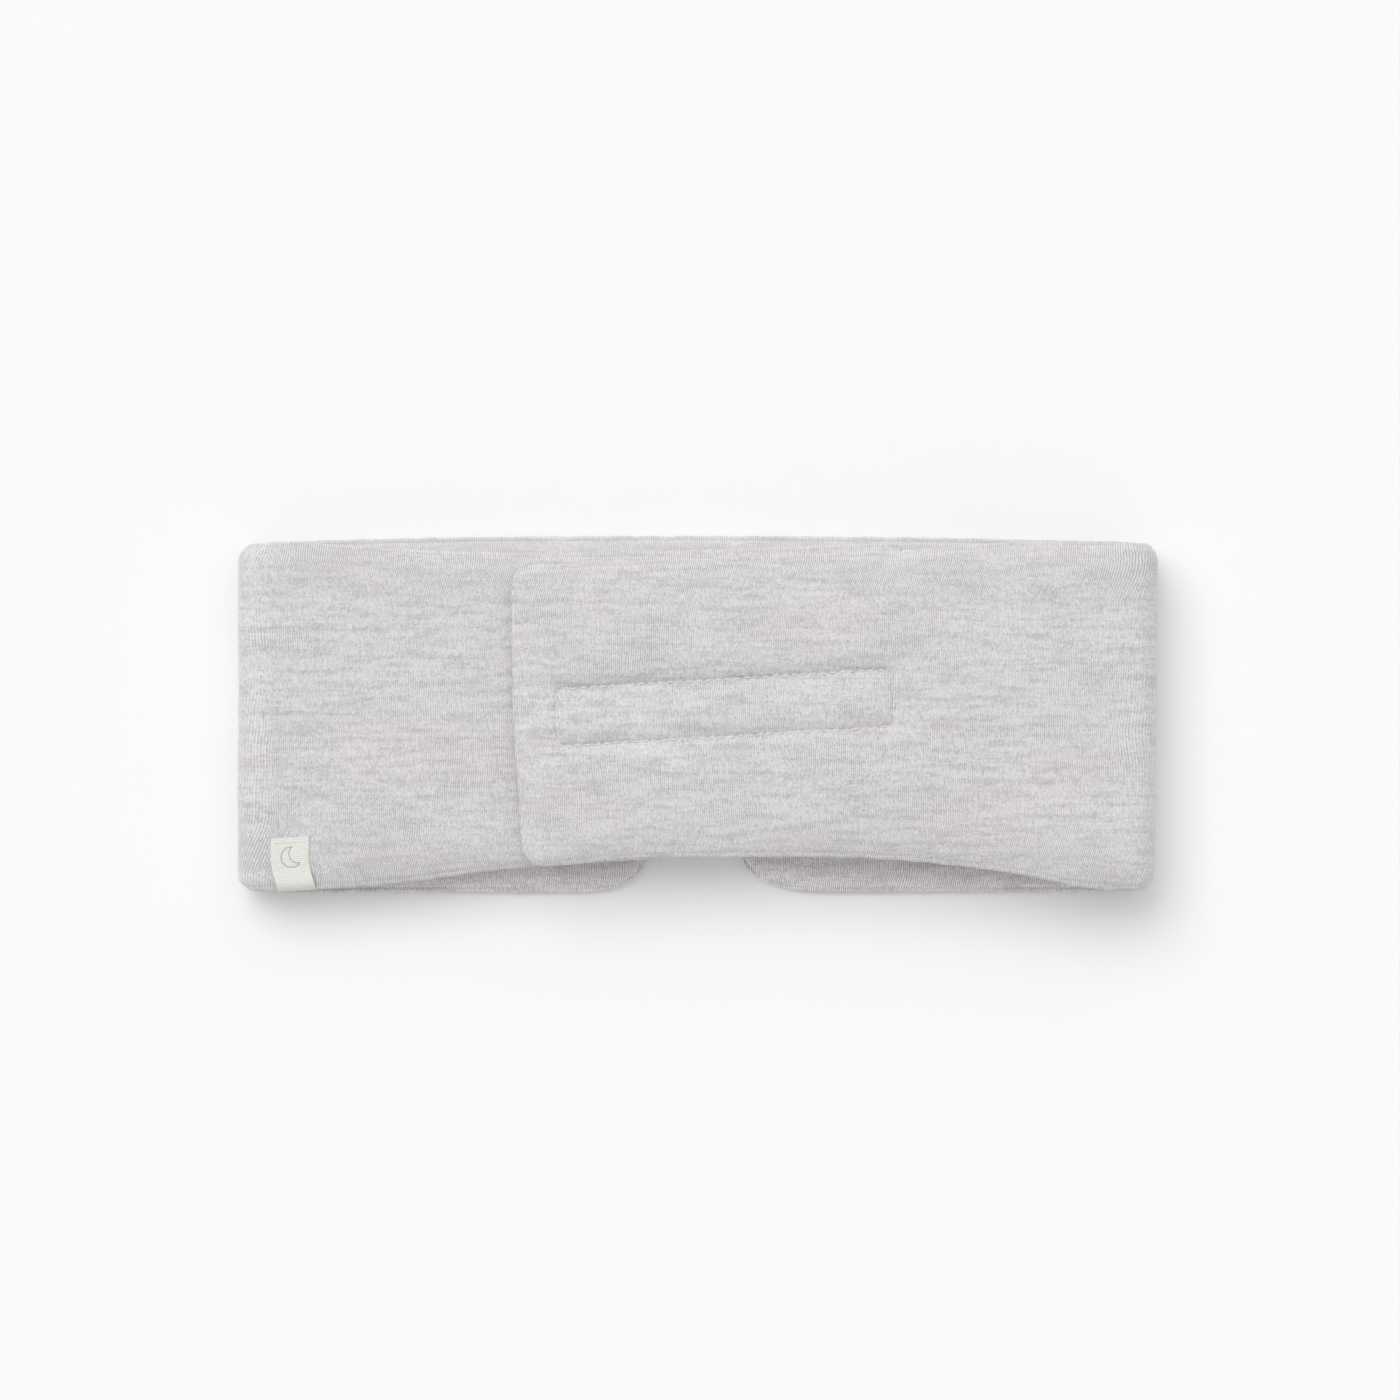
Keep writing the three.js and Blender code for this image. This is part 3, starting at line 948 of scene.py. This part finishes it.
def label_path():
    """The ribbon's own line round the wing's lower edge: how far in from the edge, and h."""
    roll = np.linspace(math.pi / 2, -math.pi / 2, 40)
    off = HALF + LABEL_CLEARANCE
    bend = np.column_stack([ROLL - (ROLL + LABEL_LOOP) * np.cos(roll), off * np.sin(roll)])
    outer = [(LABEL_OUTER_LEG, off)]
    inner = [(LABEL_INNER_LEG, -off)]
    path = np.vstack([outer, bend, inner])
    lengths = np.concatenate([[0], np.cumsum(np.linalg.norm(np.diff(path, axis=0), axis=1))])
    where = np.linspace(0, lengths[-1], LABEL_ROWS)
    return np.column_stack([np.interp(where, lengths, path[:, i]) for i in (0, 1)]), lengths[-1]


def label_point(across, inward, h):
    """A point of the label in the flat band: across it, in from the wing's edge, and h."""
    bow = -LABEL_BOW * np.sin(math.pi * np.clip(inward / LABEL_OUTER_LEG, 0, 1))
    bow += LABEL_FLARE * np.exp(-(inward / LABEL_FLARE_REACH) ** 2)
    flat = turned(np.column_stack([across + bow, inward]), LABEL_TILT)
    x = LABEL_X + flat[:, 0]
    y = LABEL_EDGE + flat[:, 1]
    return np.column_stack([LEFT_WING - x, y, h])


def on_pad(surface, points, above):
    """Points of the flat band, with their h raised where the pad's shell would come closer than above."""
    result = points.copy()
    for i in np.flatnonzero(points[:, 2] > 0):
        shell = surface_height(surface, points[i], 1, beside=-math.inf)
        result[i, 2] = max(points[i, 2], shell + above[i])
    return result


def label_ribbon(surface):
    """The ribbon as a closed mesh with a rib for each weft, and its length along the fold."""
    path, length = label_path()
    t = np.linspace(0, length, LABEL_ROWS)
    u = np.linspace(-0.5, 0.5, LABEL_COLUMNS)
    tangent = np.gradient(path, axis=0)
    tangent /= np.linalg.norm(tangent, axis=1, keepdims=True)
    out = np.column_stack([tangent[:, 1], -tangent[:, 0]])
    out *= np.sign(out[0, 1])
    rib = LABEL_RIB_HEIGHT * np.cos(math.tau * t / LABEL_RIB)
    selvedge = SELVEDGE_SINK * (np.abs(u) > SELVEDGE_FROM)
    thinning = LABEL_EDGE_THINNING * (2 * np.abs(u)) ** 16
    sheets = []
    for face in (1, -1):
        lift = face * (LABEL_THICKNESS / 2 + rib[:, None] - selvedge[None, :] - thinning)
        inward = path[:, 0, None] + out[:, 0, None] * lift
        h = path[:, 1, None] + out[:, 1, None] * lift
        across = np.broadcast_to(u * LABEL_WIDTH, h.shape)
        above = LABEL_CLEARANCE + np.broadcast_to(lift, h.shape).ravel()
        sheets.append(on_pad(surface, label_point(across.ravel(), inward.ravel(), h.ravel()), above))
    count = LABEL_ROWS * LABEL_COLUMNS
    index = np.arange(count).reshape(LABEL_ROWS, LABEL_COLUMNS)
    top = np.stack([index[:-1, :-1], index[:-1, 1:], index[1:, 1:], index[1:, :-1]], axis=-1).reshape(-1, 4)
    faces = [*top.tolist(), *(top[:, ::-1] + count).tolist()]
    rim = np.concatenate([index[:, 0], index[-1, 1:], index[-2::-1, -1], index[0, -2:0:-1]]).tolist()
    for here, there in zip(rim, rim[1:] + rim[:1]):
        faces.append([here, there, there + count, here + count])
    made = outward_object("side_label_ribbon", fold(np.vstack(sheets)), faces)
    uv = np.column_stack([np.tile(u * LABEL_WIDTH, LABEL_ROWS), np.repeat(t, LABEL_COLUMNS)])
    paint_uv(made.data, "knit", np.vstack([uv, uv]))
    return made, length


def label_top(surface, across, inward, lift):
    """A path on the label's upper face, this high above it."""
    above = LABEL_CLEARANCE + LABEL_THICKNESS / 2 + np.broadcast_to(lift, across.shape)
    return fold(on_pad(surface, label_point(across, inward, HALF + above), above))


LABEL_STITCHES = 7
LABEL_STITCH = 1.25
LABEL_STITCH_GAP = 0.24
LABEL_THREAD = 0.26
LABEL_STITCH_SINK = 0.16
LABEL_STITCH_WANDER = 0.05
LABEL_INSET = 1.4  # from the ribbon's end to the stitches


def label_stitches(surface):
    """The row that holds the label, across its end."""
    parts = []
    inward = LABEL_OUTER_LEG - LABEL_INSET
    rng = np.random.default_rng(21)
    t = np.linspace(0, 1, 7)
    lift = LABEL_THREAD * np.sin(math.pi * t) ** ARCH - LABEL_STITCH_SINK
    for i in range(LABEL_STITCHES):
        first = (i - LABEL_STITCHES / 2) * LABEL_STITCH + LABEL_STITCH_GAP / 2
        across = first + (LABEL_STITCH - LABEL_STITCH_GAP) * t
        inward_here = np.full(len(t), inward + rng.uniform(-LABEL_STITCH_WANDER, LABEL_STITCH_WANDER))
        path = label_top(surface, across, inward_here, lift)
        parts.append(tube(path, LABEL_THREAD / 2, 7, ply=0.12, twist=1.2))
    return outward_object("side_label_stitches", *joined(parts))


CRESCENT_RADIUS = 2.7
CRESCENT_ARC = 118  # degrees each side of the middle of its back
CRESCENT_HOLLOW = 72
CRESCENT_TURN = 24
CRESCENT_CENTRE = (0.35, 8.2)  # across the ribbon, and in from the wing's edge
CRESCENT_LINE = 0.18
CRESCENT_LIFT = 0.04


def crescent():
    """The outline of a waning crescent: an outer arc, and an inner one between the same two horns."""
    outer = math.radians(CRESCENT_ARC) * np.linspace(-1, 1, 40) + math.pi
    inner = math.radians(CRESCENT_HOLLOW) * np.linspace(1, -1, 32) + math.pi
    ratio = math.sin(math.radians(CRESCENT_ARC)) / math.sin(math.radians(CRESCENT_HOLLOW))
    radius = CRESCENT_RADIUS * ratio
    back = CRESCENT_RADIUS * np.column_stack([np.cos(outer), np.sin(outer)])
    hollow = radius * np.column_stack([np.cos(inner), np.sin(inner)])
    hollow += back[-1] - hollow[0]
    return turned(resample(np.vstack([back, hollow[1:-1]]), 0.2), math.radians(CRESCENT_TURN))


def label_print(surface):
    """The crescent as a thin raised line on the ribbon."""
    path = crescent() + np.array(CRESCENT_CENTRE)
    path = np.vstack([path, path[:2]])
    line = label_top(surface, path[:, 0], path[:, 1], CRESCENT_LIFT)
    return outward_object("side_label_crescent", *tube(line, CRESCENT_LINE / 2, 6))


# Materials

def srgb(r, g, b):
    def linear(v):
        v /= 255
        return v / 12.92 if v <= 0.04045 else ((v + 0.055) / 1.055) ** 2.4
    return (linear(r), linear(g), linear(b), 1.0)


class Shading:
    """A material's nodes, added one at a time. Each call gives back the node's first output."""

    def __init__(self, name, uv=True):
        self.material = bpy.data.materials.new(name)
        self.material.use_nodes = True
        self.tree = self.material.node_tree
        self.shader = self.tree.nodes["Principled BSDF"]
        if uv:
            self.place = self.add("UVMap", uv_map="knit")
        else:
            self.place = self.tree.nodes.new("ShaderNodeTexCoord").outputs["Object"]

    def put(self, socket, value):
        """Links another node's output to a socket, or sets the socket to a constant."""
        if isinstance(value, bpy.types.NodeSocket):
            self.tree.links.new(value, socket)
        else:
            socket.default_value = value

    def add(self, kind, inputs=None, **settings):
        node = self.tree.nodes.new("ShaderNode" + kind)
        for key, value in settings.items():
            setattr(node, key, value)
        for key, value in (inputs or {}).items():
            self.put(node.inputs[key], value)
        return node.outputs[0]

    def along_and_across(self):
        """The two coordinates of the UV map, in millimetres."""
        along = self.add("SeparateXYZ", {"Vector": self.place})
        return along, along.node.outputs[1]

    def math(self, operation, *values):
        return self.add("Math", dict(enumerate(values)), operation=operation)

    def times(self, value, factor):
        return self.math("MULTIPLY", value, factor)

    def total(self, first, *others):
        for other in others:
            first = self.math("ADD", first, other)
        return first

    def wave(self, value, length, operation="SINE"):
        return self.math(operation, self.times(value, math.tau / length))

    def noise(self, scale, detail=2.0, roughness=0.5, offset=0.0):
        """Noise at this many cells to a unit each way. The offset makes it another one."""
        vector = self.add("Mapping", {"Vector": self.place, "Scale": (*scale, 1.0)[:3]})
        inputs = {"Vector": vector, "W": offset, "Scale": 1.0, "Detail": detail, "Roughness": roughness}
        return self.add("TexNoise", inputs, noise_dimensions="4D")

    def between(self, value, low, high, low_to=0.0, high_to=1.0):
        inputs = {"Value": value, "From Min": low, "From Max": high, "To Min": low_to, "To Max": high_to}
        return self.add("MapRange", inputs, interpolation_type="SMOOTHSTEP")

    def mix(self, factor, a, b):
        return self.add("Mix", {0: factor, 6: a, 7: b}, data_type="RGBA").node.outputs[2]

    def finish(self, colour, height, distance, strength, roughness, **constants):
        """The material, with a bump this many metres high and the shader's constants."""
        bump = self.add("Bump", {"Height": height, "Distance": distance, "Strength": strength})
        values = {"Base Color": colour, "Roughness": roughness, "Normal": bump}
        values.update({SHADER_SOCKETS[key]: value for key, value in constants.items()})
        for key, value in values.items():
            self.put(self.shader.inputs[key], value)
        return self.material


SHADER_SOCKETS = {
    "sheen": "Sheen Weight",
    "sheen_roughness": "Sheen Roughness",
    "specular": "Specular IOR Level",
}

WALE = 0.56  # from one wale of the knit to the next
COURSE = 0.48
KNIT_SLANT = 0.08  # how far the wales lean for each millimetre across the band
KNIT_WANDER = 5.0


def knit(m, lean):
    """The knit's wales, its courses and the slanted legs of its stitches, each from -1 to 1, and how near
    the band's edges they are."""
    x, y = m.along_and_across()
    edge = m.between(m.math("ABSOLUTE", y), 26.0, 42.0)
    wander = m.times(m.math("SUBTRACT", m.noise((0.035, 0.03)), 0.5), KNIT_WANDER)
    slant = m.times(m.times(y, m.total(edge, lean)), KNIT_SLANT)
    wale = m.wave(m.total(x, wander, slant), WALE)
    course = m.wave(y, COURSE)
    legs = m.math("SINE", m.total(m.times(y, math.tau / COURSE), m.times(wale, 1.2)))
    return wale, course, legs, edge


def jersey(name, light, dark, lean, streak_share, upper_light=None):
    """Heather jersey: fine wales with painted shade in the grooves between them, short dark streaks along the
    band, specks, and faint warm and cool tints.
    upper_light is its light colour along the band's upper edge, if that differs: the lining's paler colour is
    painted light for where it lies in shade, and upper_light takes it back to the shell's grey there."""
    m = Shading(name)
    wale, course, legs, edge = knit(m, lean)
    if upper_light:
        _, y = m.along_and_across()
        # The lining's painted light fades out towards the band's upper edge, where it is not in the wings'
        # shade.
        light = m.mix(m.between(y, 20.0, 38.0), light, upper_light)

    speck = m.noise((2.6, 1.3), 2, 0.6, 1.3)
    yarn = m.noise((1.7, 0.5), 2, 0.6, 5.2)
    # Painted shade: the colour darkens in the grooves between the wales, where the bump is low, and more
    # clearly near the band's edges.
    clear = m.between(m.noise((0.05, 0.09), offset=9.4), 0.42, 0.62, 0.12, 0.4)  # how clear the wales are
    clear = m.total(clear, m.times(edge, 0.3))
    shade = m.total(
        m.between(m.noise((0.075, 0.55), 5, 0.62), 0.40, 0.68, 0.0, streak_share),  # streaks
        m.between(m.noise((0.3, 1.9), 3, 0.6, 3.1), 0.42, 0.75, 0.0, 0.24),  # finer ones
        m.between(m.noise((0.02, 0.05), offset=7.7), 0.3, 0.7, 0.0, 0.08),  # clouds
        m.between(speck, 0.2, 0.8, -0.34, 0.5),
        m.between(m.noise((1.9, 1.5), 1, offset=21.0), 0.6, 0.8, 0.0, 0.9),  # dark flecks
        m.between(m.noise((1.9, 1.5), 1, offset=26.0), 0.62, 0.8, 0.0, -0.5),  # light flecks
        m.times(m.math("SUBTRACT", 0.3, wale), clear),
        m.between(yarn, 0.3, 0.7, -0.14, 0.2))
    colour = m.mix(shade, light, dark)
    warm = m.between(m.noise((0.016, 0.05), offset=12.0), 0.46, 0.66, 0.0, 0.22)
    colour = m.mix(warm, colour, m.mix(shade, srgb(228, 220, 220), srgb(194, 185, 185)))
    cool = m.between(m.noise((0.03, 0.08), offset=15.5), 0.55, 0.7, 0.0, 0.16)
    colour = m.mix(cool, colour, m.mix(shade, srgb(220, 224, 223), srgb(184, 189, 190)))

    shares = ((wale, 0.5), (legs, 0.16), (course, 0.08), (speck, 1.3), (yarn, 0.7))
    height = m.total(*(m.times(part, share) for part, share in shares))
    roughness = m.between(speck, 0.3, 0.7, 0.86, 1.0)
    return m.finish(colour, height, 0.00011, 0.7, roughness, sheen=0.7, sheen_roughness=0.4, specular=0.15)


def thread_material(name, light, dark):
    m = Shading(name, uv=False)
    fibre = m.noise((2600, 2600, 2600), 2, 0.6)
    slow = m.noise((300, 300, 300))
    shade = m.total(m.between(fibre, 0.3, 0.7, 0.0, 0.6), m.between(slow, 0.3, 0.7, 0.0, 0.4))
    roughness = m.between(fibre, 0.3, 0.7, 0.55, 0.8)
    return m.finish(m.mix(shade, light, dark), fibre, 0.00004, 0.6, roughness, sheen=0.2, specular=0.35)


def woven_material(name, light, dark, pitch_x, pitch_y):
    """A tape's woven ground, over and under in both directions, with painted shade where the threads dip
    under.
    """
    m = Shading(name)
    x, y = m.along_and_across()
    over = m.times(m.wave(x, pitch_x), m.wave(y, pitch_y))
    fibre = m.noise((5.0, 5.0))
    # Painted shade: the colour darkens where the weave's bump is low.
    shade = m.total(m.between(over, -1, 1, 0.7, 0.0), m.between(fibre, 0.3, 0.7, 0.0, 0.3))
    height = m.total(over, m.times(fibre, 0.6))
    roughness = m.between(fibre, 0.3, 0.7, 0.6, 0.8)
    return m.finish(m.mix(shade, light, dark), height, 0.00006, 0.8, roughness, sheen=0.15)


def grosgrain(name):
    """The label's ribbon: a ground with painted shade between its ribs, with fine warp ends across them."""
    m = Shading(name)
    x, y = m.along_and_across()
    rib = m.wave(y, LABEL_RIB, "COSINE")
    slub = m.noise((0.8, 4.0), 3)
    # Painted shade in the hollows between the ribs, with a random slub tone on top.
    shade = m.total(m.between(rib, -1, 0.6, 0.75, 0.0), m.between(slub, 0.3, 0.7, 0.0, 0.3))
    colour = m.mix(shade, srgb(243, 242, 238), srgb(214, 213, 207))
    height = m.total(m.times(m.wave(x, LABEL_WARP), 0.3), slub)
    roughness = m.between(slub, 0.3, 0.7, 0.65, 0.85)
    return m.finish(colour, height, 0.00005, 0.6, roughness, sheen=0.1, specular=0.3)


def all_materials():
    tape = srgb(238, 236, 236), srgb(214, 212, 212)
    # The lining's colours are much paler than the shell's: painted light that brightens the lining on the
    # lobes, where it lies in the wings' shade.
    lining = srgb(254, 250, 251), srgb(200, 196, 198)
    return {
        "shell": jersey("shell_jersey", srgb(229.5, 227, 228), srgb(186.5, 184.5, 185.5), 0.2, 0.45),
        "lining": jersey("lining_jersey", *lining, -3.0, 0.5, upper_light=srgb(228, 226, 227)),
        "thread": thread_material("thread", srgb(240, 238, 238), srgb(212, 210, 211)),
        "label_thread": thread_material("label_thread", srgb(240, 238, 232), srgb(214, 212, 204)),
        "print": thread_material("label_print", srgb(168, 167, 161), srgb(146, 145, 139)),
        "hook_ground": woven_material("hook_ground", *tape, 0.6, 0.9),
        "hook": thread_material("hook_nylon", srgb(242, 240, 240), srgb(222, 220, 220)),
        "loop_ground": woven_material("loop_ground", *tape, 0.7, 1.1),
        "pile": thread_material("loop_pile", srgb(242, 240, 240), srgb(218, 216, 216)),
        "grosgrain": grosgrain("label_ribbon"),
    }


# The stage. The floor and the wall are in metres.

PICTURE_WIDTH = 366.4
AIM = (0.4, 4.06)
CAMERA_HEIGHT = 2500.0
SENSOR = 36.0
PICTURE_Z = 17.0  # the height at which the picture's width is measured
FLOOR_HALF = 6.0
WALL_RADIUS = 5.9
WALL_HEIGHT = 1.0
WALL_SIDES = 96


def camera():
    data = bpy.data.cameras.new("camera")
    data.sensor_width = SENSOR
    data.lens = SENSOR * (CAMERA_HEIGHT - PICTURE_Z) / PICTURE_WIDTH
    data.clip_end = 50
    made = in_scene("camera", data)
    made.location = Vector((*AIM, CAMERA_HEIGHT)) * MM
    bpy.context.scene.camera = made


def stage_piece(name, points, faces, grey, glow):
    """A matt piece of the studio that shines a little by itself."""
    mesh = bpy.data.meshes.new(name)
    mesh.from_pydata(points, [], faces)
    made = in_scene(name, mesh)
    material = bpy.data.materials.new(name)
    material.use_nodes = True
    sockets = material.node_tree.nodes["Principled BSDF"].inputs
    sockets["Base Color"].default_value = (grey, grey, grey, 1)
    sockets["Roughness"].default_value = 1.0
    sockets["Specular IOR Level"].default_value = 0.0
    sockets["Emission Color"].default_value = (1, 1, 1, 1)
    sockets["Emission Strength"].default_value = glow
    mesh.materials.append(material)


def floor():
    corners = [(x * FLOOR_HALF, y * FLOOR_HALF, 0) for x, y in ((-1, -1), (1, -1), (1, 1), (-1, 1))]
    stage_piece("floor", corners, [(0, 1, 2, 3)], grey=0.88, glow=0.07)


def backdrop():
    """A low pale wall all round the floor's edge, behind every view from the side."""
    angles = np.linspace(0, math.tau, WALL_SIDES, endpoint=False)
    ring = WALL_RADIUS * np.column_stack([np.cos(angles), np.sin(angles)])
    points = np.vstack([np.column_stack([ring, np.full(WALL_SIDES, z)]) for z in (0.0, WALL_HEIGHT)])
    faces = [(i, (i + 1) % WALL_SIDES, (i + 1) % WALL_SIDES + WALL_SIDES, i + WALL_SIDES)
             for i in range(WALL_SIDES)]
    stage_piece("backdrop", points.tolist(), faces, grey=0.0, glow=1.05)


def sun(name, toward, strength, softness):
    """A soft sun. toward is where its light comes from."""
    data = bpy.data.lights.new(name, "SUN")
    data.energy = strength
    data.angle = math.radians(softness)
    in_scene(name, data).rotation_euler = Vector(toward).to_track_quat("Z", "Y").to_euler()


def lights():
    sun("key", toward=(-0.4, 0.55, 1.0), strength=1.29, softness=44)
    sun("fill", toward=(0.08, 0.4, 1.0), strength=0.71, softness=85)
    world = bpy.data.worlds.new("studio")
    world.use_nodes = True
    background = world.node_tree.nodes["Background"]
    background.inputs["Color"].default_value = (1, 1, 1, 1)
    background.inputs["Strength"].default_value = 0.45
    bpy.context.scene.world = world


# Everything together

LEFT_BLEND = 1.8  # how far below and above its hinge a bend turns, clear of the panels
RIGHT_BLEND = 4.2


def bend_at(pad, wing, x, z, reach):
    """Declares a pad that bends from the front panel to a wing round a hinge, in millimetres."""
    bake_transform(pad, "front_panel", wing,
             start=(x * MM, 0, (z - reach) * MM), end=(x * MM, 0, (z + reach) * MM))


def ride_wing(piece, wing, material, slot, *nodes):
    piece.data.materials.append(material)
    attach(piece, wing)
    if nodes:
        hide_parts(*nodes)


def add_pads(materials):
    """The two pads. Gives back the flat band's surface."""
    left, right, surface = pads([materials["shell"], materials["lining"]])
    layers = ("outer_shell", "padding", "inner_lining")
    for pad, panel in ((left, "left_wing"), (right, "right_wing")):
        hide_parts(*(f"{part}_{layer}" for part in ("front", panel) for layer in layers))
    bend_at(left, "left_wing", -FOLD_X, LEFT_Z, LEFT_BLEND)
    bend_at(right, "right_wing", FOLD_X, RIGHT_Z, RIGHT_BLEND)
    return surface


def add_tapes(materials, surface):
    hook_cloth, hooks = hook_tape(surface)
    loop_cloth, pile = loop_tape(surface)
    ride_wing(hook_cloth, "right_wing", materials["hook_ground"], "hook_nylon", "hook_tape")
    ride_wing(hooks, "right_wing", materials["hook"], "hook_nylon")
    ride_wing(loop_cloth, "left_wing", materials["loop_ground"], "loop_pile", "loop_tape")
    ride_wing(pile, "left_wing", materials["pile"], "loop_pile")
    for seed, (side, row) in enumerate(ROWS.items(), 31):
        stitches = sewn_row(f"hook_tape_stitches_{side}", row, RIGHT_WING, surface, seed)
        ride_wing(stitches, "right_wing", materials["thread"], "thread", f"hook_tape_stitching_{side}")
        stitches = sewn_row(f"loop_tape_stitches_{side}", row, LEFT_WING, surface, seed + 10)
        ride_wing(stitches, "left_wing", materials["thread"], "thread", f"loop_tape_stitching_{side}")


def add_label(materials, surface):
    ribbon, length = label_ribbon(surface)
    stitches = label_stitches(surface)
    mark = label_print(surface)
    ride_wing(ribbon, "left_wing", materials["grosgrain"], "label_ribbon", "side_label")
    ride_wing(stitches, "left_wing", materials["label_thread"], "label_thread", "side_label_stitching")
    ride_wing(mark, "left_wing", materials["print"], "label_thread")


def main():
    bpy.context.scene.view_settings.view_transform = "Standard"
    camera()
    floor()
    backdrop()
    lights()
    materials = all_materials()
    surface = add_pads(materials)
    add_tapes(materials, surface)
    add_label(materials, surface)


main()
